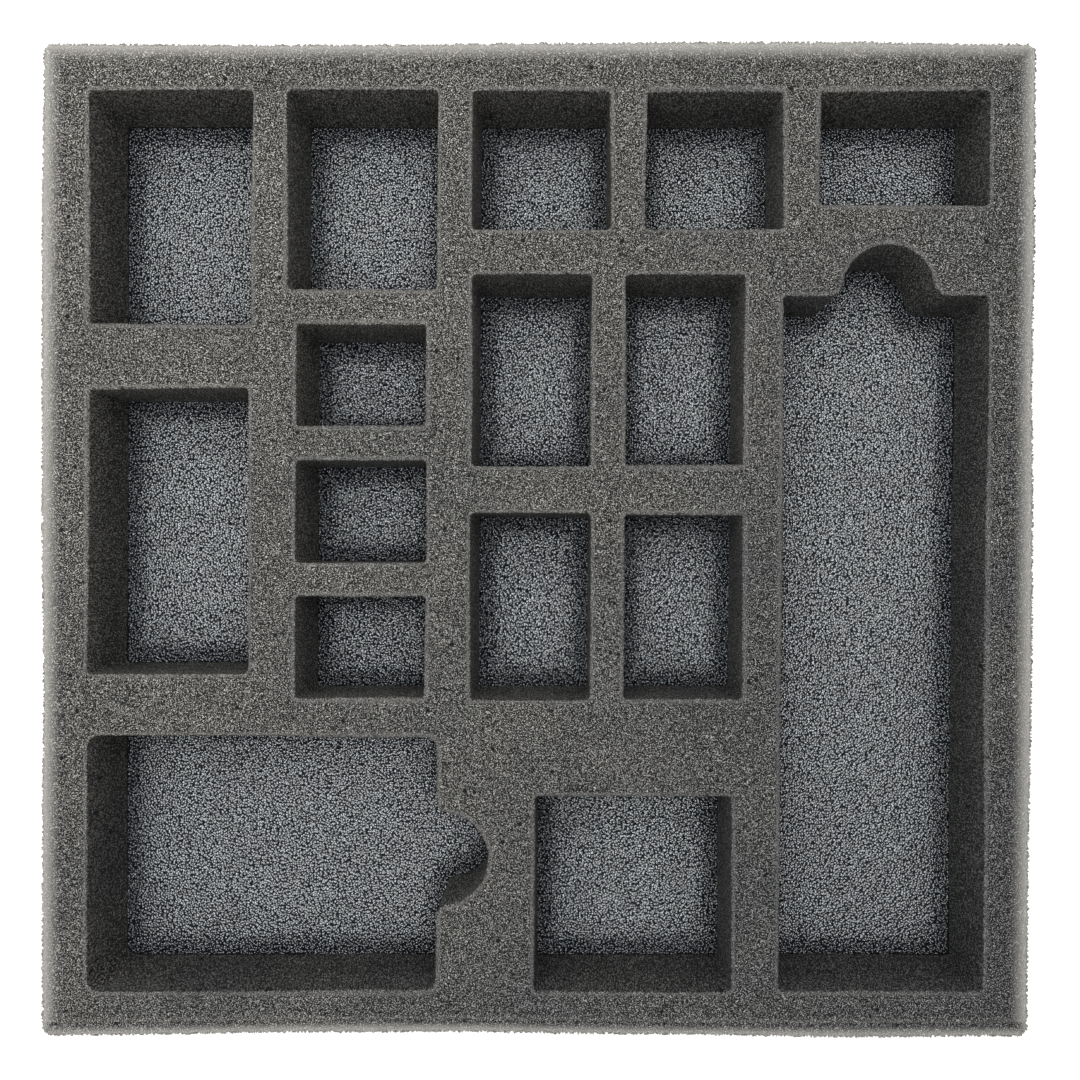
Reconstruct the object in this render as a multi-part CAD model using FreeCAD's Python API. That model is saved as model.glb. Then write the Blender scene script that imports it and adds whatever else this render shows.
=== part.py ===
import FreeCAD, Part
import math
import os

# Box insert organizer: a square foam tray that drops into a board-game box.
#
# A block of open-cell foam is cut right through with sixteen compartments. A film of adhesive
# bonds it to a thin closed-cell pad, which is the floor of every compartment. Two compartments
# have a half-round thumb notch in one wall.
#
# The origin is the centre of the underside, +X is the tray's right, +Y its back and +Z is up.
# All sizes are in millimetres.

# Tray
SIDE = 287.4
FOAM_HEIGHT = 47.4
ADHESIVE_HEIGHT = 0.2
PAD_HEIGHT = 3.2
ADHESIVE_SETBACK = 1.0
TRAY_CORNER_RADIUS = 2.2

# Foam left between the compartments and the tray's outside
SIDE_BORDER = 13.2
BACK_BORDER = 13.6
FRONT_BORDER = 13.0

# Walls between compartments that are not simply what is left over
THIN_WALL = 10.1
MIDDLE_WALL = 13.6
PAIR_ROW_WALL = 14.1
SQUARE_WELL_WALL = 14.2

# Compartments, as width from left to right and length from back to front
BACK_ROW = [(47.0, 67.6), (43.2, 57.5), (39.7, 39.8), (39.7, 39.8), (49.1, 33.0)]
LEFT_WELL = (46.1, 82.2)
CARD_TRAY = (101.7, 73.6)
SMALL_WELL = (37.6, 29.4)
SMALL_WELL_COUNT = 3
PAIR_WIDTH = 34.5
PAIR_LENGTHS = [55.2, 53.6]
LONG_TRAY = (59.3, 201.3)
SQUARE_WELL = (57.2, 56.3)
WELL_CORNER_RADIUS = 1.0
CARD_TRAY_CORNER_RADIUS = 3.5

# Thumb notch: a round cut whose centre lies just inside the foam, with eased shoulders
NOTCH_RADIUS = 13.4
NOTCH_INSET = 1.6
NOTCH_SHOULDER_RADIUS = 4.0
CARD_NOTCH_FROM_BACK = 35.3
LONG_NOTCH_FROM_LEFT = 30.4

# How far the cutting tools run past the foam's two faces
OVERRUN = 1.0


def compartment_layout():
    """Give each compartment as name: (left, back, width, length, corner radius).

    left and back are measured from the tray's left and back sides.
    """
    layout = {}

    def add(name, left, back, size, radius=WELL_CORNER_RADIUS):
        layout[name] = (left, back, size[0], size[1], radius)

    row_widths = sum(width for width, length in BACK_ROW)
    row_wall = (SIDE - 2 * SIDE_BORDER - row_widths) / (len(BACK_ROW) - 1)
    row_lefts = []
    left = SIDE_BORDER
    for number, size in enumerate(BACK_ROW, start=1):
        add(f"back_well_{number}", left, BACK_BORDER, size)
        row_lefts.append(left)
        left += size[0] + row_wall

    column_lengths = BACK_ROW[0][1] + LEFT_WELL[1] + CARD_TRAY[1]
    column_wall = (SIDE - BACK_BORDER - FRONT_BORDER - column_lengths) / 2
    left_well_back = BACK_BORDER + BACK_ROW[0][1] + column_wall
    add("left_well", SIDE_BORDER, left_well_back, LEFT_WELL)
    card_tray_back = SIDE - FRONT_BORDER - CARD_TRAY[1]
    add("card_tray", SIDE_BORDER, card_tray_back, CARD_TRAY, CARD_TRAY_CORNER_RADIUS)

    small_left = row_lefts[1] + (BACK_ROW[1][0] - SMALL_WELL[0]) / 2
    small_back = BACK_BORDER + BACK_ROW[1][1] + THIN_WALL
    for number in range(SMALL_WELL_COUNT):
        back = small_back + number * (SMALL_WELL[1] + THIN_WALL)
        add(f"small_well_{number + 1}", small_left, back, SMALL_WELL)

    back = BACK_BORDER + BACK_ROW[2][1] + MIDDLE_WALL
    for row, length in enumerate(PAIR_LENGTHS, start=1):
        for column in range(2):
            left = row_lefts[2] + column * (PAIR_WIDTH + THIN_WALL)
            add(f"pair_well_{row}_{column + 1}", left, back, (PAIR_WIDTH, length))
        back += length + PAIR_ROW_WALL

    long_left = SIDE - SIDE_BORDER - LONG_TRAY[0]
    add("long_tray", long_left, SIDE - FRONT_BORDER - LONG_TRAY[1], LONG_TRAY)
    square_left = long_left - SQUARE_WELL_WALL - SQUARE_WELL[0]
    add("square_well", square_left, SIDE - FRONT_BORDER - SQUARE_WELL[1], SQUARE_WELL)
    return layout


def rounded_block(left, back, width, length, radius, bottom, height):
    """Make an upright block with round vertical edges, placed from the left and back sides."""
    corner = FreeCAD.Vector(left - SIDE / 2, SIDE / 2 - back - length, bottom)
    block = Part.makeBox(width, length, height, corner)
    uprights = [edge for edge in block.Edges if abs(edge.tangentAt(edge.FirstParameter).z) > 0.5]
    return block.makeFillet(radius, uprights)


def notch_cutter(centre_x, edge_y, turn, growth, bottom, height):
    """Make the thumb notch's cutter for a compartment edge.

    It stands out of the edge at (centre_x, edge_y) towards +Y, then turns about that point by
    turn degrees. growth makes the notch wider all round.
    """
    radius = NOTCH_RADIUS + growth
    shoulder = NOTCH_SHOULDER_RADIUS - growth
    shoulder_rise = shoulder + growth
    reach = math.sqrt((radius + shoulder) ** 2 - (shoulder_rise - NOTCH_INSET) ** 2)
    blend_x = reach * radius / (radius + shoulder)
    blend_y = NOTCH_INSET + (shoulder_rise - NOTCH_INSET) * radius / (radius + shoulder)

    # The shoulder's middle point lies on the line from its centre halfway between its ends
    middle_x = (reach + blend_x) / 2 - reach
    middle_y = (growth + blend_y) / 2 - shoulder_rise
    stretch = shoulder / math.hypot(middle_x, middle_y)
    shoulder_x = reach + middle_x * stretch
    shoulder_y = shoulder_rise + middle_y * stretch

    def point(x, y):
        return FreeCAD.Vector(centre_x + x, edge_y + y, bottom)

    left_end, right_end = point(-blend_x, blend_y), point(blend_x, blend_y)
    outline = [
        Part.makeLine(point(-reach, -OVERRUN), point(-reach, growth)),
        Part.Arc(point(-reach, growth), point(-shoulder_x, shoulder_y), left_end).toShape(),
        Part.Arc(left_end, point(0, NOTCH_INSET + radius), right_end).toShape(),
        Part.Arc(right_end, point(shoulder_x, shoulder_y), point(reach, growth)).toShape(),
        Part.makeLine(point(reach, growth), point(reach, -OVERRUN)),
        Part.makeLine(point(reach, -OVERRUN), point(-reach, -OVERRUN)),
    ]
    cutter = Part.Face(Part.Wire(outline)).extrude(FreeCAD.Vector(0, 0, height))
    cutter.rotate(point(0, 0), FreeCAD.Vector(0, 0, 1), turn)
    return cutter


def layer_with_compartments(bottom, height, setback):
    """Make one layer of the tray with the compartments cut through it.

    setback is how far the layer's edges stay back from the foam's own edges.
    """
    width = SIDE - 2 * setback
    layer = rounded_block(setback, setback, width, width, TRAY_CORNER_RADIUS, bottom, height)
    layout = compartment_layout()
    floor = bottom - OVERRUN
    depth = height + 2 * OVERRUN
    cutters = []
    for left, back, width, length, radius in layout.values():
        cutters.append(
            rounded_block(
                left - setback,
                back - setback,
                width + 2 * setback,
                length + 2 * setback,
                radius + setback,
                floor,
                depth,
            )
        )

    left, back, width, length, radius = layout["long_tray"]
    notch_x = left + LONG_NOTCH_FROM_LEFT - SIDE / 2
    cutters.append(notch_cutter(notch_x, SIDE / 2 - back, 0, setback, floor, depth))
    left, back, width, length, radius = layout["card_tray"]
    notch_y = SIDE / 2 - back - CARD_NOTCH_FROM_BACK
    cutters.append(notch_cutter(left + width - SIDE / 2, notch_y, -90, setback, floor, depth))
    return layer.cut(cutters)


def base_pad():
    """Make the thin pad that closes the compartments underneath."""
    return rounded_block(0, 0, SIDE, SIDE, TRAY_CORNER_RADIUS, 0, PAD_HEIGHT)


def adhesive_film():
    """Make the film of adhesive between the pad and the foam's walls."""
    return layer_with_compartments(PAD_HEIGHT, ADHESIVE_HEIGHT, ADHESIVE_SETBACK)


def foam_body():
    """Make the foam block with its compartments and thumb notches."""
    return layer_with_compartments(PAD_HEIGHT + ADHESIVE_HEIGHT, FOAM_HEIGHT, 0.0)


def main():
    os.makedirs("parts", exist_ok=True)
    nodes = {
        "base_pad": base_pad(),
        "adhesive_film": adhesive_film(),
        "foam_body": foam_body(),
    }
    for name, shape in nodes.items():
        shape.exportStep(f"parts/{name}.step")
        print(name, "solids", len(shape.Solids), "valid", shape.isValid(), "mm3", round(shape.Volume))


main()
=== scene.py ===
import math

import bpy
import numpy as np
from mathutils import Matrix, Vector, kdtree
from mathutils.geometry import delaunay_2d_cdt


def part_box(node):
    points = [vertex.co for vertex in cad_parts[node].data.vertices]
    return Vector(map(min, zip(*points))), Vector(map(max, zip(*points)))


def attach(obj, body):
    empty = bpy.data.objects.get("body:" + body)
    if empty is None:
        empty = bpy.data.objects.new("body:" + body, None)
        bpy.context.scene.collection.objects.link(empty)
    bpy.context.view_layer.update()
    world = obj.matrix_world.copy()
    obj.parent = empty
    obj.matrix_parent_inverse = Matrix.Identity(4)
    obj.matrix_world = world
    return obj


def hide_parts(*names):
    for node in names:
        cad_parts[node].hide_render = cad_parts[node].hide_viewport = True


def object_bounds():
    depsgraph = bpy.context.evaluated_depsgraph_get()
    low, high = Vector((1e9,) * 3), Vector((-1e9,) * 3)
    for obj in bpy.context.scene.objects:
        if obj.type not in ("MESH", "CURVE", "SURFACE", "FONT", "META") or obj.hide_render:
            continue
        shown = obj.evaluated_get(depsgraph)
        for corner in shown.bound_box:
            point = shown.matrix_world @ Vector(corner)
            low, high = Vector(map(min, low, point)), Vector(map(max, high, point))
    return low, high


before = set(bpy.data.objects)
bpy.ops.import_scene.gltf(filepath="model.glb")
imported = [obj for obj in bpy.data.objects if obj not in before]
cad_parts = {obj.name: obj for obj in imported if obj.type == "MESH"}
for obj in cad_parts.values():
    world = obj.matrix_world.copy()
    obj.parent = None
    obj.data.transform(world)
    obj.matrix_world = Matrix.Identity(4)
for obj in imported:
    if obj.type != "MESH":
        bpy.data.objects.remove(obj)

# A foam box insert seen from straight above: the foam block and its floor pad are rebuilt as
# soft, uneven meshes on the CAD outlines, and every material is made of procedural nodes.
# Lengths are in metres, so MM turns millimetres into them.

MM = 0.001
TOUCHING = 1e-6
CAD_LOW, CAD_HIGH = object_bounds()
FOAM_LOW, FOAM_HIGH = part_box("foam_body")
PAD_LOW, PAD_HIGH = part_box("base_pad")
HALF_SIDE = FOAM_HIGH.x
RANDOM_SEED = 20

# Large odd numbers that scatter a lattice point's whole coordinates into a random one
HASH_FACTORS = (73856093, 19349663, 83492791)
HASH_SEED_FACTOR = 2654435761
HASH_MIXERS = (2246822519, 3266489917)
HASH_MASK = 0xFFFFFFFF
HASH_BITS_KEPT = 0xFFFFFF

# Foam block: mesh steps along the rims and down the walls
RIM_STEP = 0.6 * MM
FRINGE_STEP = 0.33 * MM
COARSEST_SIDE_STEP = 1.2 * MM
COARSEST_WALL_STEP = 2.4 * MM
STEP_GROWTH = 1.18
UNDERSIDE_COARSENING = 8

# Foam block: rounded edges and relief
OUTER_EDGE_RADIUS = 1.6 * MM
WELL_EDGE_RADIUS = 1.0 * MM
CELL_SIZE = 1.0 * MM
CELL_RELIEF = 0.34 * MM
CELL_SHARE = 1.3
RAGGED_SIZE = 0.5 * MM
RAGGED_SHARE = 0.5
SIDE_FLATTENING = 0.7
WELL_FLATTENING = 0.6
WELL_CELL_SQUASH = 0.2
WAVE_SIZE = 45.0 * MM
WAVE_RELIEF = 0.5 * MM
GLUED_FADE = 1.5 * MM
FRINGE_REACH = 0.9 * MM
FRINGE_DEPTH = 1.0 * MM
FRINGE_BARE_SHARE = 0.55
FRINGE_SHARPNESS = 2.2

# Foam block: the painted pale glow round the outer edge, the painted highlight on the lips and the
# painted shade deeper down the walls
EDGE_GLOW_BAND = 5.6 * MM
FRONT_EDGE_GLOW_BAND = 3.2 * MM
FRONT_STRIP = 4.0 * MM
EDGE_BAND_FALLOFF = 1.6
EDGE_FADE_DEPTH = 6.0 * MM
LIP_HIGHLIGHT_DEPTH = 1.2 * MM
WALL_SHADE_DEPTH = 30.0 * MM

# How far the tray was cut out of square: the front is narrower, leans left and bows in
FRONT_NARROWING = 0.007
FRONT_LEAN = 1.6 * MM
FRONT_BOW = 1.7 * MM
FRONT_BOW_CENTRE = -40.0 * MM
FRONT_BOW_SPREAD = 60.0 * MM
FRONT_BOW_DEPTH = 12.0 * MM

# Floor pad
PAD_STEP = 1.1 * MM
PAD_SIDE_LEVELS = 4
SWELL_SIZE = 3.0 * MM
SWELL_RELIEF = 0.22 * MM
SWELL_SINK = 0.05
WELL_OUTLINE_STEP = 1.0 * MM
STEEP_AND_SHADE_BAND = 9.0 * MM

# Adhesive film
FILM_STEP = 3.0 * MM
FILM_EDGE_RADIUS = 0.02 * MM

# Camera: straight down over the tray, shifted so that the tray sits centred in the picture
EYE = Vector((9.0 * MM, -0.9 * MM, FOAM_HIGH.z + 518.5 * MM))
LENS_MM = 59.7
SHIFT_X = -0.0287
SHIFT_Y = 0.0028

# Foam material
GRAIN_SIZE = 0.27 * MM
STREAK_SIZE = 0.26 * MM
SMALL_PORE_SIZE = 0.3 * MM
PORE_SIZE = 0.4 * MM
PIT_SIZE = 0.75 * MM
PINHOLE_SPACING = 7.0 * MM
# Painted light falloff across the tray: the size of the random tone laid over it, and its reach
TONE_SIZE = 40.0 * MM
LIGHT_FALLOFF_REACH = 250.0 * MM
# Painted glints on the struts: how sharply they rise, and their colour
PAINTED_GLINT_SHARPNESS = 3.4
NET_BUMP = 0.35 * MM
PAINTED_STRUT_GLINT_COLOUR = (0.655, 0.66, 0.66, 1.0)
# Painted light falloff: the lit tone at the back left and the shaded tone at the front right
PAINTED_LIT_TONE = (0.925, 0.893, 0.835, 1.0)
PAINTED_SHADED_TONE = (0.573, 0.58, 0.582, 1.0)
# Colours of the painted pale glow round the outer edge
EDGE_GLOW_PORE_COLOUR = (0.3, 0.292, 0.272, 1.0)
EDGE_GLOW_STRUT_COLOUR = (0.68, 0.66, 0.62, 1.0)

# Pad material
SKIN_GRAIN_SIZE = 0.5 * MM
PEBBLE_SIZE = 0.76 * MM
SWAY_SIZE = 1.3 * MM
SWAY_REACH = 0.35 * MM
CLUMP_SIZE = 3.5 * MM
DULL_PATCH_SIZE = 12.0 * MM
PEBBLE_BUMP = 0.3 * MM
# Painted shade in the pebbles' hollows and painted shine on their tops
SHADED_HOLLOW_COLOUR = (0.004, 0.005, 0.0065, 1.0)
PEBBLE_SHINE_COLOUR = (0.14, 0.155, 0.185, 1.0)
DULL_COLOUR = (0.008, 0.0085, 0.011, 1.0)
# Painted shade on the floor near the walls
FLOOR_SHADE_COLOUR = (0.003, 0.0035, 0.005, 1.0)
SKIN_GLOSS_TINT = (0.95, 0.985, 1.0, 1.0)

# Adhesive material
STRAND_SIZE = 1.5 * MM
STRAND_BUMP = 0.1 * MM
BARE_FILM_COLOUR = (0.1, 0.095, 0.08, 1.0)
STRAND_COLOUR = (0.4, 0.37, 0.29, 1.0)

# Studio
STAGE_SIZE = 6.0
LIGHT_PLACE = (-0.11, 0.17, 1.2)
LIGHT_TARGET = (-0.23, 0.29, 0.0)
LIGHT_SIZE = 1.1
LIGHT_WATTS = 17.5
LIGHT_COLOUR = (1.0, 0.995, 0.985)
LIGHT_SPREAD = math.radians(110.0)
WORLD_STRENGTH = 0.15


def smoothstep(value):
    value = np.clip(value, 0.0, 1.0)
    return value * value * (3.0 - 2.0 * value)


def cut_out_of_square(points):
    """Move points (rows of x, y, z) as the tray's uneven cut does."""
    towards_front = (HALF_SIDE - points[:, 1]) / (2 * HALF_SIDE)
    x = points[:, 0] * (1.0 - FRONT_NARROWING * towards_front) - FRONT_LEAN * towards_front
    near_front = smoothstep(1.0 - (points[:, 1] + HALF_SIDE) / FRONT_BOW_DEPTH)
    bow = np.exp(-(((points[:, 0] - FRONT_BOW_CENTRE) / FRONT_BOW_SPREAD) ** 2))
    y = points[:, 1] + FRONT_BOW * near_front * bow
    return np.column_stack([x, y, points[:, 2]])


def lattice_hash(cells, seed):
    """Give three repeatable random numbers from 0 to 1 for each row of whole numbers."""
    mixed = np.bitwise_xor.reduce(cells * HASH_FACTORS, axis=1) ^ seed * HASH_SEED_FACTOR
    result = []
    for _ in range(3):
        mixed = (mixed ^ (mixed >> 15)) * HASH_MIXERS[0] & HASH_MASK
        mixed = (mixed ^ (mixed >> 13)) * HASH_MIXERS[1] & HASH_MASK
        result.append((mixed & HASH_BITS_KEPT) / (HASH_BITS_KEPT + 1.0))
    return np.column_stack(result)


def cell_distance(points, size, seed):
    """Distance from each point to the nearest of the cells' scattered centres, in cell sizes."""
    scaled = points / size
    base = np.floor(scaled).astype(np.int64)
    nearest = np.full(len(points), 9.0)
    for dx in (-1, 0, 1):
        for dy in (-1, 0, 1):
            for dz in (-1, 0, 1):
                cell = base + np.array([dx, dy, dz])
                centre = cell + lattice_hash(cell, seed)
                nearest = np.minimum(nearest, ((scaled - centre) ** 2).sum(1))
    return np.sqrt(nearest)


def smooth_noise(points, size, seed):
    """Smooth random value from -1 to 1 for each point, with features of about the given size."""
    scaled = points / size
    base = np.floor(scaled).astype(np.int64)
    blend = smoothstep(scaled - base)
    total = np.zeros(len(points))
    for corner in range(8):
        offset = np.array([corner & 1, corner >> 1 & 1, corner >> 2 & 1])
        weight = np.where(offset, blend, 1.0 - blend).prod(1)
        total += weight * lattice_hash(base + offset, seed)[:, 0]
    return total * 2.0 - 1.0


def cad_outlines(node):
    """Outlines of a node's top face, with the largest first and the solid on the left.

    Each is an array of x, y rows in order.
    """
    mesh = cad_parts[node].data
    top = max(vertex.co.z for vertex in mesh.vertices)
    key = []
    for vertex in mesh.vertices:
        on_top = vertex.co.z > top - TOUCHING
        key.append((round(vertex.co.x / MM, 3), round(vertex.co.y / MM, 3)) if on_top else None)
    directed = set()
    for polygon in mesh.polygons:
        corners = [key[index] for index in polygon.vertices]
        if None not in corners:
            directed.update(zip(corners, corners[1:] + corners[:1]))
    following = {start: end for start, end in directed if (end, start) not in directed}
    outlines = []
    while following:
        start, point = following.popitem()
        outline = [start]
        while point != start:
            outline.append(point)
            point = following.pop(point)
        outlines.append(np.array(outline) * MM)
    outlines.sort(key=lambda outline: (-np.prod(np.ptp(outline, axis=0)), outline[0][0]))
    return outlines


def nearest_finder(points):
    """Search tree over x, y points, at height 0."""
    tree = kdtree.KDTree(len(points))
    for index, (x, y) in enumerate(points):
        tree.insert((x, y, 0.0), index)
    tree.balance()
    return tree


def resample(outline, step):
    """Put points on a closed outline at even steps."""
    closed = np.vstack([outline, outline[:1]])
    lengths = np.hypot(*np.diff(closed, axis=0).T)
    along = np.concatenate([[0.0], np.cumsum(lengths)])
    count = max(12, round(along[-1] / step))
    at = np.arange(count) * along[-1] / count
    return np.column_stack([np.interp(at, along, closed[:, axis]) for axis in (0, 1)])


def outward_normals(outline):
    """Unit normals of an outline that has the solid on its left, pointing out of the solid."""
    tangent = np.roll(outline, -1, axis=0) - np.roll(outline, 1, axis=0)
    tangent /= np.linalg.norm(tangent, axis=1)[:, None]
    return np.column_stack([tangent[:, 1], -tangent[:, 0]])


def wall_profile(radius, height, finest, coarsest):
    """Steps from the top face over the rounded edge and down the wall, as (inset, drop) pairs."""
    arc_steps = max(2, math.ceil(radius * math.pi / 2 / finest))
    profile = []
    for number in range(arc_steps + 1):
        angle = math.pi / 2 * number / arc_steps
        profile.append((radius * (1.0 - math.sin(angle)), radius * (1.0 - math.cos(angle))))
    drop, step = radius, finest
    while height - drop > step * 1.4:
        drop += step
        profile.append((0.0, drop))
        step = min(step * STEP_GROWTH, coarsest)
    profile.append((0.0, height))
    return profile


def fill_between(rings, step, random):
    """Triangulate the solid between rings of x, y points. Gives added points and triangles."""
    edge_points = np.vstack(rings)
    edge_normals = np.vstack([outward_normals(ring) for ring in rings])
    ring_of = np.concatenate([np.full(len(ring), number) for number, ring in enumerate(rings)])
    tree = nearest_finder(edge_points)
    low, high = edge_points.min(0), edge_points.max(0)
    row_step = step * math.sqrt(3) / 2
    inner = []
    for row, y in enumerate(np.arange(low[1], high[1], row_step)):
        start = low[0] + (row % 2) * step / 2
        for x in np.arange(start, high[0], step):
            point, index, distance = tree.find((x, y, 0.0))
            side = (x - point[0]) * edge_normals[index][0] + (y - point[1]) * edge_normals[index][1]
            if side < 0 and distance > 0.6 * step:
                inner.append((x, y))
    inner = np.array(inner).reshape(-1, 2)
    inner += random.uniform(-0.2, 0.2, inner.shape) * step

    points = np.vstack([edge_points, inner])
    edges = []
    first = 0
    for ring in rings:
        ids = list(range(first, first + len(ring)))
        edges.extend(zip(ids, ids[1:] + ids[:1]))
        first += len(ring)
    vectors = [Vector(point) for point in points]
    triangles = delaunay_2d_cdt(vectors, edges, [], 0, 1e-9, False)[2]
    triangles = np.array([triangle for triangle in triangles if len(triangle) == 3])

    # A triangle whose corners all lie on one ring is solid only if it turns as that ring does
    on_edge = (triangles < len(edge_points)).all(1)
    keep = np.ones(len(triangles), bool)
    edge_triangles = np.sort(triangles[on_edge], axis=1)
    same_ring = np.ptp(ring_of[edge_triangles], axis=1) == 0
    a, b, c = (points[edge_triangles[:, corner]] for corner in range(3))
    turn = (b[:, 0] - a[:, 0]) * (c[:, 1] - a[:, 1]) - (b[:, 1] - a[:, 1]) * (c[:, 0] - a[:, 0])
    keep[np.flatnonzero(on_edge)[same_ring & (turn <= 0)]] = False
    return inner, triangles[keep]


def mesh_object(name, points, faces, material):
    mesh = bpy.data.meshes.new(name)
    mesh.from_pydata(points.tolist(), [], faces)
    mesh.materials.append(material)
    mesh.validate()
    mesh.update()
    for polygon in mesh.polygons:
        polygon.use_smooth = True
    piece = bpy.data.objects.new(name, mesh)
    bpy.context.scene.collection.objects.link(piece)
    return piece


def store(piece, name, values):
    attribute = piece.data.attributes.new(name, "FLOAT", "POINT")
    attribute.data.foreach_set("value", np.asarray(values, np.float32))


def stored(piece, name):
    values = np.empty(len(piece.data.vertices), np.float32)
    piece.data.attributes[name].data.foreach_get("value", values)
    return values


def lattice_block(outlines, top, height, steps, edge_radii, material, name):
    """A closed block with a coarse underside, from the outlines of its top face.

    Its attribute "well" is 1 on the compartments' own rings and 0 elsewhere.
    """
    random = np.random.default_rng(RANDOM_SEED)
    outer_step, rim_step, coarsest_outer, coarsest_inner = steps
    points, faces, top_rings, bottom_rings, ring_starts, in_well = [], [], [], [], [], []
    count = 0
    for number, outline in enumerate(outlines):
        outer = number == 0
        ring = resample(outline, outer_step if outer else rim_step)
        normal = outward_normals(ring)
        radius = edge_radii[0] if outer else edge_radii[1]
        coarsest = coarsest_outer if outer else coarsest_inner
        profile = wall_profile(radius, height, outer_step if outer else rim_step, coarsest)
        size = len(ring)
        for level, (inset, drop) in enumerate(profile):
            level_ring = ring - normal * inset
            points.append(np.column_stack([level_ring, np.full(size, top - drop)]))
            in_well.append(np.full(size, not outer))
            if level == 0:
                top_rings.append(level_ring)
        bottom_rings.append(ring)
        ids = np.arange(size)
        after = np.roll(ids, -1)
        for level in range(len(profile) - 1):
            upper = count + level * size
            lower = upper + size
            quads = np.column_stack([upper + ids, lower + ids, lower + after, upper + after])
            faces.extend(quads.tolist())
        ring_starts.append((count, count + (len(profile) - 1) * size, size))
        count += len(profile) * size

    for rings, level, z, step, flip in (
        (top_rings, 0, top, rim_step, False),
        (bottom_rings, 1, top - height, UNDERSIDE_COARSENING * rim_step, True),
    ):
        inner, triangles = fill_between(rings, step, random)
        to_vertex = np.concatenate(
            [np.arange(start[level], start[level] + start[2]) for start in ring_starts]
            + [np.arange(count, count + len(inner))]
        )
        points.append(np.column_stack([inner, np.full(len(inner), z)]))
        in_well.append(np.zeros(len(inner), bool))
        count += len(inner)
        triangles = to_vertex[triangles]
        faces.extend((triangles[:, ::-1] if flip else triangles).tolist())
    block = mesh_object(name, np.vstack(points), faces, material)
    store(block, "well", np.concatenate(in_well))
    return block


def vertex_arrays(piece):
    count = len(piece.data.vertices)
    points = np.empty(count * 3, np.float32)
    normals = np.empty(count * 3, np.float32)
    piece.data.vertices.foreach_get("co", points)
    piece.data.vertex_normals.foreach_get("vector", normals)
    return points.reshape(-1, 3).astype(float), normals.reshape(-1, 3).astype(float)


def set_points(piece, points):
    piece.data.vertices.foreach_set("co", points.astype(np.float32).ravel())
    piece.data.update()


def build_foam(material):
    outlines = cad_outlines("foam_body")
    height = FOAM_HIGH.z - FOAM_LOW.z
    foam = lattice_block(
        outlines,
        FOAM_HIGH.z,
        height,
        (FRINGE_STEP, RIM_STEP, COARSEST_SIDE_STEP, COARSEST_WALL_STEP),
        (OUTER_EDGE_RADIUS, WELL_EDGE_RADIUS),
        material,
        "foam_block",
    )
    points, normals = vertex_arrays(foam)
    from_side = HALF_SIDE - np.abs(points[:, :2]).max(1)
    below_top = FOAM_HIGH.z - points[:, 2]
    # Painted light: a pale band round the outer edge for light from the white surroundings glowing
    # through the rounded foam, narrower along the front and fading down the sides
    band = np.where(points[:, 1] < FRONT_STRIP - HALF_SIDE, FRONT_EDGE_GLOW_BAND, EDGE_GLOW_BAND)
    near_side = np.clip(1.0 - from_side / band, 0.0, 1.0) ** EDGE_BAND_FALLOFF
    store(foam, "painted_edge_glow", near_side * smoothstep(1.25 - below_top / EDGE_FADE_DEPTH))
    well = stored(foam, "well")
    # Painted highlight along the top of each compartment's lip
    store(foam, "painted_lip_highlight", well * smoothstep(1.0 - below_top / LIP_HIGHLIGHT_DEPTH))
    # Painted shade that deepens down the compartment walls; it also sets how strongly they streak
    store(foam, "wall_shade_and_streaks", well * smoothstep(below_top / WALL_SHADE_DEPTH))
    store(foam, "cell_squash", np.where(well > 0.5, WELL_CELL_SQUASH, 1.0))

    # Cells stand out as pits between ragged struts, and fade away at the glued face
    free = smoothstep((points[:, 2] - FOAM_LOW.z) / GLUED_FADE)
    drawn = points * np.column_stack([np.ones((len(points), 2)), stored(foam, "cell_squash")])
    pits = cell_distance(drawn, CELL_SIZE, 1) - 0.5
    ragged = smooth_noise(drawn, RAGGED_SIZE, 2)
    waves = smooth_noise(points, WAVE_SIZE, 3)
    at_side = smoothstep(1.0 - from_side / FRINGE_DEPTH)
    flattened = np.maximum(SIDE_FLATTENING * at_side, WELL_FLATTENING * well)
    cells = CELL_RELIEF * (pits * CELL_SHARE + ragged * RAGGED_SHARE)
    relief = cells * (1.0 - flattened) + WAVE_RELIEF * waves

    # Cut strut ends stand out from the sides as a ragged fringe
    strut = np.random.default_rng(RANDOM_SEED).random(len(points))
    standing = smoothstep((strut - FRINGE_BARE_SHARE) * FRINGE_SHARPNESS)
    relief += FRINGE_REACH * standing * at_side
    points += normals * (relief * free)[:, None]
    set_points(foam, cut_out_of_square(points))
    return foam


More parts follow.
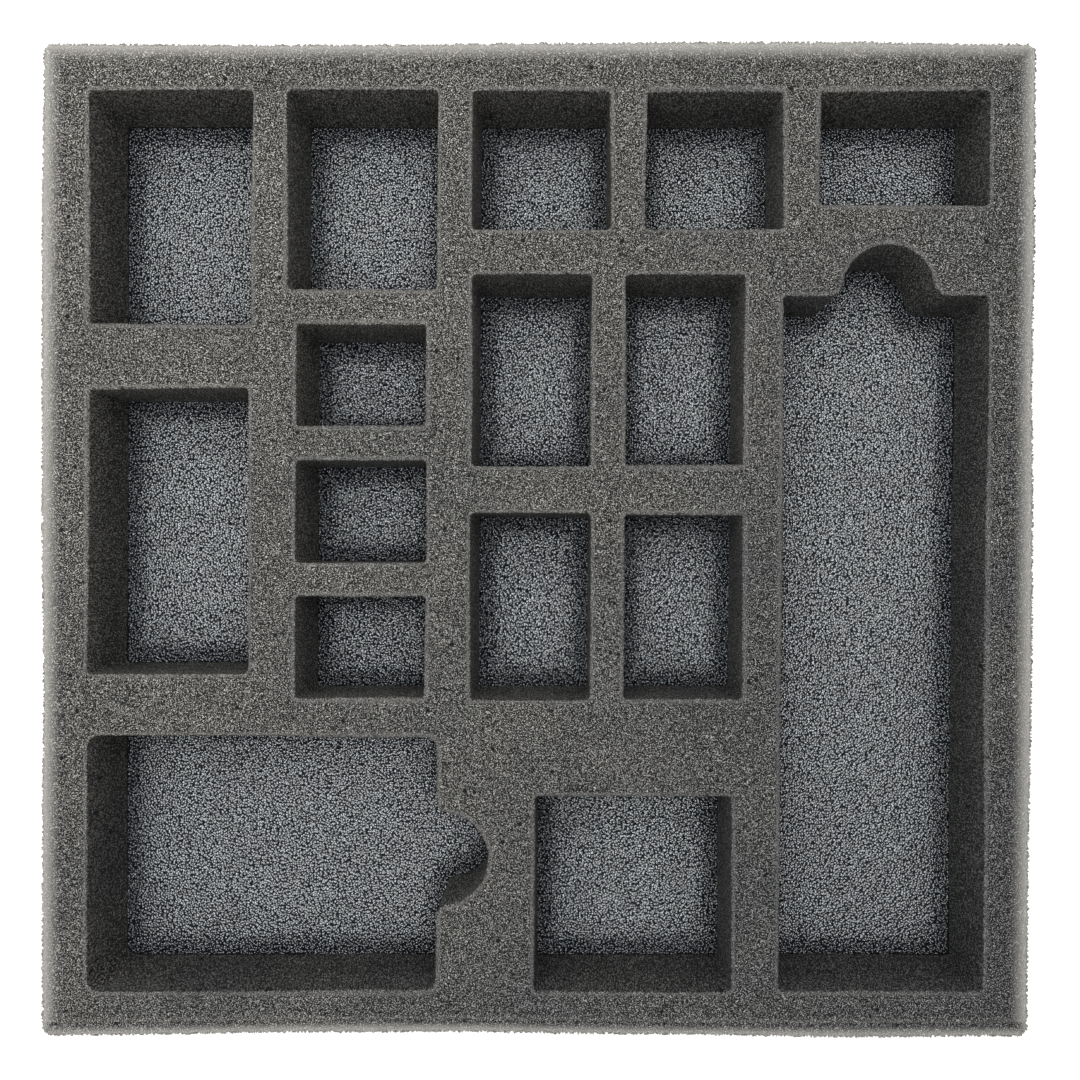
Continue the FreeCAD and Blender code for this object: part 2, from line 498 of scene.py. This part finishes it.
def build_pad(material):
    """The floor pad: a closed sheet whose upper skin swells and dips a little."""
    low, high = PAD_LOW, PAD_HIGH
    count = round((high.x - low.x) / PAD_STEP)
    axis = np.linspace(low.x, high.x, count + 1)
    grid_x, grid_y = np.meshgrid(axis, axis)
    flat = np.column_stack([grid_x.ravel(), grid_y.ravel()])
    upper = np.column_stack([flat, np.full(len(flat), high.z)])
    rows = np.arange(count * (count + 1)).reshape(count, count + 1)[:, :-1]
    a = rows.ravel()
    faces = np.column_stack([a, a + 1, a + count + 2, a + count + 1]).tolist()

    side = count + 1
    border = np.concatenate(
        [
            np.arange(0, count),
            np.arange(count, side * count + count, side),
            np.arange(side * side - 1, side * count, -1),
            np.arange(side * count, 0, -side),
        ]
    )
    points = [upper]
    previous = border
    first = len(upper)
    for level in range(1, PAD_SIDE_LEVELS + 1):
        ring = upper[border].copy()
        ring[:, 2] = high.z + (low.z - high.z) * level / PAD_SIDE_LEVELS
        ids = np.arange(first, first + len(border))
        faces.extend(
            np.column_stack([previous, ids, np.roll(ids, -1), np.roll(previous, -1)]).tolist()
        )
        points.append(ring)
        previous = ids
        first += len(border)
    faces.append(previous[::-1].tolist())
    pad = mesh_object("floor_pad", np.vstack(points), faces, material)
    points, normals = vertex_arrays(pad)
    skin = points[:, 2] > high.z - TOUCHING
    dip = cell_distance(points, SWELL_SIZE, 7) + SWELL_SINK
    points[:, 2] -= np.where(skin, SWELL_RELIEF * dip, 0.0)
    store(pad, "skin", skin.astype(float))

    # Pebbles stand steeper along the walls, and painted shade darkens the floor there
    wells = [resample(outline, WELL_OUTLINE_STEP) for outline in cad_outlines("foam_body")[1:]]
    tree = nearest_finder(np.vstack(wells))
    distance = np.array([tree.find((x, y, 0.0))[2] for x, y in points[:, :2]])
    store(pad, "near_wall", smoothstep(1.0 - distance / STEEP_AND_SHADE_BAND) * skin)
    set_points(pad, cut_out_of_square(points))
    return pad


def build_adhesive(material):
    low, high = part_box("adhesive_film")
    film = lattice_block(
        cad_outlines("adhesive_film"),
        high.z,
        high.z - low.z,
        (FILM_STEP, FILM_STEP, FILM_STEP, FILM_STEP),
        (FILM_EDGE_RADIUS, FILM_EDGE_RADIUS),
        material,
        "adhesive_line",
    )
    points, _ = vertex_arrays(film)
    set_points(film, cut_out_of_square(points))
    return film


class Nodes:
    """Short calls for building a material's node tree."""

    def __init__(self, name):
        self.material = bpy.data.materials.new(name)
        self.material.use_nodes = True
        self.tree = self.material.node_tree
        self.shader = self.tree.nodes["Principled BSDF"]

    def add(self, kind, settings=None, inputs=None):
        node = self.tree.nodes.new(kind)
        for key, value in (settings or {}).items():
            setattr(node, key, value)
        for key, value in (inputs or {}).items():
            self.put(node, key, value)
        return node

    def put(self, node, key, value):
        socket = node.inputs[key]
        if isinstance(value, bpy.types.NodeSocket):
            self.tree.links.new(value, socket)
        else:
            socket.default_value = value

    def maths(self, operation, *values):
        node = self.add("ShaderNodeMath", {"operation": operation})
        for number, value in enumerate(values):
            self.put(node, number, value)
        return node.outputs[0]

    def spread(self, value, low, high, to_low=0.0, to_high=1.0, smooth=True):
        node = self.add(
            "ShaderNodeMapRange",
            {"interpolation_type": "SMOOTHSTEP" if smooth else "LINEAR"},
            {"From Min": low, "From Max": high, "To Min": to_low, "To Max": to_high},
        )
        self.put(node, "Value", value)
        return node.outputs[0]

    def cells(self, vector, size):
        """Scattered cells: distance from each cell's centre, and a random tone for each cell."""
        node = self.add("ShaderNodeTexVoronoi", {}, {"Vector": vector, "Scale": 1.0 / size})
        tone = self.add("ShaderNodeSeparateColor", {}, {0: node.outputs["Color"]}).outputs[0]
        return node.outputs["Distance"], tone

    def noise(self, vector, size, detail=2.0, roughness=0.5):
        node = self.add(
            "ShaderNodeTexNoise",
            {},
            {"Vector": vector, "Scale": 1.0 / size, "Detail": detail, "Roughness": roughness},
        )
        return node.outputs[0]

    def product(self, first, second):
        return self.maths("MULTIPLY", first, second)

    def mix(self, share, first, second, blend="MIX"):
        node = self.add("ShaderNodeMix", {"data_type": "RGBA", "blend_type": blend})
        self.put(node, 0, share)
        self.put(node, 6, first)
        self.put(node, 7, second)
        return node.outputs[2]

    def bump(self, distance, height, strength=1.0):
        inputs = {"Strength": strength, "Distance": distance, "Height": height}
        self.put(self.shader, "Normal", self.add("ShaderNodeBump", {}, inputs).outputs[0])

    def attribute(self, name):
        return self.add("ShaderNodeAttribute", {"attribute_name": name}).outputs["Fac"]

    def place(self):
        return self.add("ShaderNodeTexCoord").outputs["Object"]


def grey(value):
    return (value, value, value, 1.0)


def foam_material():
    """Open-cell foam: a random net of struts with painted glints over pores in painted shade, with
    a painted pale glow at its outer edge.
    """
    n = Nodes("open_cell_foam")

    # Cells are drawn out down the compartment walls, where the cutting blade dragged them
    x, y, z = n.add("ShaderNodeSeparateXYZ", {}, {0: n.place()}).outputs
    drawn = n.maths("MULTIPLY", n.maths("SUBTRACT", z, FOAM_HIGH.z), n.attribute("cell_squash"))
    place = n.add("ShaderNodeCombineXYZ", {}, {0: x, 1: y, 2: drawn}).outputs[0]

    # Painted light falloff: the tone drifts from warm and pale at the back left to cool and dark at
    # the front right, with a little random tone on top
    across = n.spread(n.maths("SUBTRACT", x, y), -LIGHT_FALLOFF_REACH, LIGHT_FALLOFF_REACH, 0.0, 0.8, False)
    painted_falloff = n.maths("ADD", across, n.noise(place, TONE_SIZE, 2.0, 0.5))
    painted_falloff = n.spread(painted_falloff, 0.5, 1.3, 0.0, 1.0, False)
    tone = n.mix(painted_falloff, PAINTED_LIT_TONE, PAINTED_SHADED_TONE)

    grain = n.spread(n.noise(place, GRAIN_SIZE, 1.0, 0.6), 0.34, 0.66, 0.15, 1.5)
    pores = n.spread(n.cells(place, PORE_SIZE)[0], 0.12, 0.66)
    small_pores = n.spread(n.cells(place, SMALL_PORE_SIZE)[0], 0.0, 0.7, 0.2, 1.1)
    pits = n.spread(n.cells(place, PIT_SIZE)[0], 0.14, 0.42, 0.2, 1.0)
    pinholes = n.spread(n.cells(place, PINHOLE_SPACING)[0], 0.05, 0.11)
    net = n.product(n.product(pores, small_pores), n.product(grain, pits))
    net = n.product(net, pinholes)

    # Walls are streaked and smeared where the blade dragged them, and painted shade darkens them
    # with depth down the compartments
    wall_shade_and_streaks = n.attribute("wall_shade_and_streaks")
    in_compartment = n.attribute("well")
    streaks = n.spread(n.noise(place, STREAK_SIZE, 1.0, 0.5), 0.36, 0.64, -0.42, 0.15)
    net = n.product(net, n.maths("ADD", n.product(wall_shade_and_streaks, streaks), 1.0))
    shade = n.spread(wall_shade_and_streaks, 0.0, 1.0, 1.6, 0.55, False)
    smeared_and_shaded = n.mix(n.product(net, shade), grey(0.02), grey(0.17))

    # Painted glints: the struts brighten sharply to a painted highlight, while the pores and pits
    # stay near black as painted shade over the foam's grain
    painted_glints = n.maths("POWER", net, PAINTED_GLINT_SHARPNESS)
    colour = n.mix(painted_glints, grey(0.002), PAINTED_STRUT_GLINT_COLOUR)
    colour = n.mix(n.product(in_compartment, 0.45), colour, smeared_and_shaded)
    # Painted highlight on the lips: a paler, flatter grey
    painted_lip_highlight = n.mix(net, grey(0.03), grey(0.2))
    colour = n.mix(n.product(n.attribute("painted_lip_highlight"), 0.6), colour, painted_lip_highlight)
    # Multiplies in the painted light falloff
    colour = n.mix(1.0, colour, tone, "MULTIPLY")
    # Painted pale glow along the outer edge
    edge_glow = n.mix(net, EDGE_GLOW_PORE_COLOUR, EDGE_GLOW_STRUT_COLOUR)
    n.put(n.shader, "Base Color", n.mix(n.attribute("painted_edge_glow"), colour, edge_glow))
    n.put(n.shader, "Roughness", n.spread(painted_glints, 0.0, 1.0, 0.9, 0.45))
    n.put(n.shader, "Specular IOR Level", 0.25)
    n.bump(NET_BUMP, n.product(net, n.spread(in_compartment, 0.0, 1.0, 1.0, 0.4)))
    return n.material


def pad_material():
    """Closed-cell sheet: a shiny pebbled skin above with painted shine and painted shade, plain
    fine-celled foam at the sides.
    """
    n = Nodes("skinned_pad")
    place = n.place()
    fine = n.noise(place, SKIN_GRAIN_SIZE, 2.0, 0.6)
    patches = n.noise(place, DULL_PATCH_SIZE, 2.0, 0.6)
    scale = 1.0 / SWAY_SIZE
    sway = n.add("ShaderNodeTexNoise", {}, {"Vector": place, "Scale": scale, "Detail": 1.0})
    offset = n.add(
        "ShaderNodeVectorMath", {"operation": "SCALE"}, {0: sway.outputs["Color"], 3: SWAY_REACH}
    )
    uneven = n.add("ShaderNodeVectorMath", {"operation": "ADD"}, {0: place, 1: offset.outputs[0]})
    pebbles, tone = n.cells(uneven.outputs[0], PEBBLE_SIZE)
    skin = n.attribute("skin")
    steep_and_shaded = n.attribute("near_wall")

    # Each pebble is a smooth dome; its top gets a painted shine and its flanks painted shade
    hollow = n.product(n.product(pebbles, pebbles), n.spread(steep_and_shaded, 0.0, 1.0, 1.0, 1.8))
    height = n.maths("SUBTRACT", n.product(fine, 0.14), hollow)
    height = n.maths("ADD", height, n.product(n.noise(place, CLUMP_SIZE, 1.0, 0.5), 0.5))
    painted_pebble_shine = n.product(n.spread(pebbles, 0.15, 0.5, 1.0, 0.0), n.maths("POWER", tone, 1.3))
    colour = n.mix(painted_pebble_shine, SHADED_HOLLOW_COLOUR, PEBBLE_SHINE_COLOUR)
    colour = n.mix(n.spread(patches, 0.35, 0.65, 0.0, 0.65), colour, DULL_COLOUR)
    # Painted shade on the floor near the walls
    colour = n.mix(n.product(steep_and_shaded, 0.4), colour, FLOOR_SHADE_COLOUR)
    plain = n.mix(fine, grey(0.02), grey(0.06))
    n.put(n.shader, "Base Color", n.mix(skin, plain, colour))
    rough = n.spread(tone, 0.0, 1.0, 0.3, 0.17)
    n.put(n.shader, "Roughness", n.spread(skin, 0.0, 1.0, 0.8, rough, False))
    n.put(n.shader, "Specular IOR Level", 0.7)
    n.put(n.shader, "Specular Tint", SKIN_GLOSS_TINT)
    n.bump(PEBBLE_BUMP, height)
    return n.material


def adhesive_material():
    """Dried contact adhesive: dull yellowish film with a rough cobweb texture."""
    n = Nodes("adhesive")
    strands = n.noise(n.place(), STRAND_SIZE, 4.0, 0.7)
    n.put(n.shader, "Base Color", n.mix(strands, BARE_FILM_COLOUR, STRAND_COLOUR))
    n.put(n.shader, "Roughness", n.spread(strands, 0.3, 0.7, 0.35, 0.6))
    n.bump(STRAND_BUMP, strands, 0.5)
    return n.material


def floor_material():
    n = Nodes("studio_floor")
    soft = n.noise(n.place(), 0.4, 2.0, 0.5)
    n.put(n.shader, "Base Color", n.mix(soft, grey(0.88), grey(0.92)))
    n.put(n.shader, "Roughness", 0.9)
    n.put(n.shader, "Specular IOR Level", 0.1)
    return n.material


def build_softbox():
    data = bpy.data.lights.new("key_softbox", "AREA")
    data.size = LIGHT_SIZE
    data.energy = LIGHT_WATTS
    data.color = LIGHT_COLOUR
    data.spread = LIGHT_SPREAD
    light = bpy.data.objects.new("key_softbox", data)
    aim = Vector(LIGHT_TARGET) - Vector(LIGHT_PLACE)
    light.location = LIGHT_PLACE
    light.rotation_euler = aim.to_track_quat("-Z", "Y").to_euler()
    bpy.context.scene.collection.objects.link(light)


def build_studio():
    bpy.ops.mesh.primitive_plane_add(size=STAGE_SIZE, location=(0, 0, CAD_LOW.z))
    floor = bpy.context.object
    floor.name = "studio_floor"
    floor.data.materials.append(floor_material())
    build_softbox()

    world = bpy.data.worlds.new("studio")
    world.use_nodes = True
    background = world.node_tree.nodes["Background"]
    background.inputs["Color"].default_value = (1.0, 1.0, 1.0, 1.0)
    background.inputs["Strength"].default_value = WORLD_STRENGTH
    bpy.context.scene.world = world
    bpy.context.scene.view_settings.view_transform = "Standard"


def build_camera():
    data = bpy.data.cameras.new("camera")
    data.lens = LENS_MM
    data.sensor_width = 36.0
    data.shift_x = SHIFT_X
    data.shift_y = SHIFT_Y
    data.clip_start = 0.01
    camera = bpy.data.objects.new("camera", data)
    camera.location = EYE
    bpy.context.scene.collection.objects.link(camera)
    bpy.context.scene.camera = camera


def declare(piece, node):
    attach(piece, "root")
    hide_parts(node)


foam = build_foam(foam_material())
declare(foam, "foam_body")
pad = build_pad(pad_material())
declare(pad, "base_pad")
declare(build_adhesive(adhesive_material()), "adhesive_film")
build_studio()
build_camera()

bpy.context.view_layer.update()
